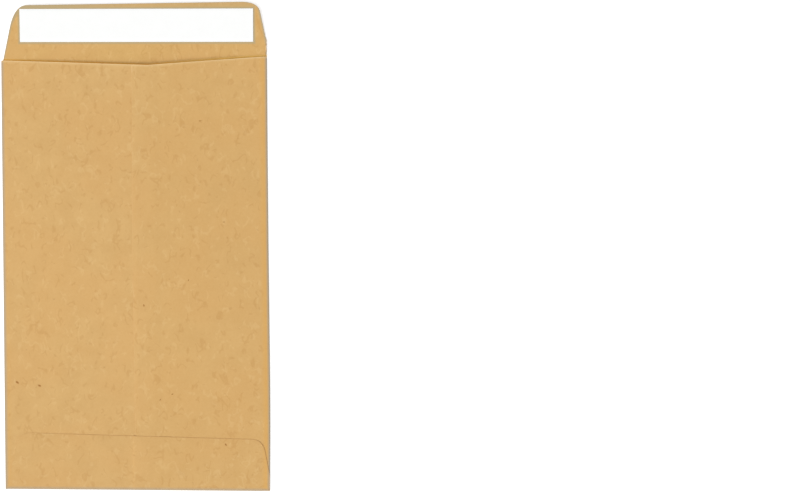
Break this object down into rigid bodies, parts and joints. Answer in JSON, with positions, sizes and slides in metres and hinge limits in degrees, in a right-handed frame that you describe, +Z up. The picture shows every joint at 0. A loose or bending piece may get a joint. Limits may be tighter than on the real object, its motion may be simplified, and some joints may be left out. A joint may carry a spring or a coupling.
{
  "type": "paper envelope",
  "caption": "Small brown kraft pocket envelope lying on its front, seal flap open, with a lapped centre seam, a folded-up glued bottom flap and a white peel strip over the seal adhesive.",
  "frame": {"origin": "middle of the body's underside, at the level of the surface that the envelope lies on", "axes": "+X runs across the width, +Y runs up the body towards the open seal flap, +Z points up out of the seamed back"},
  "size_m": [0.0764, 0.1383, 0.0017],
  "materials": {
    "kraft_paper": "uncoated brown kraft paper, matte, with faint curled fibres and a few dark specks",
    "adhesive": "clear pressure-sensitive adhesive band, hidden under the liner",
    "liner_paper": "white siliconed release paper with a slight sheen"
  },
  "bodies": {
    "root": {"folded_sheet": "kraft_paper", "seal_adhesive": "adhesive", "release_liner": "liner_paper"}
  },
  "joints": []
}
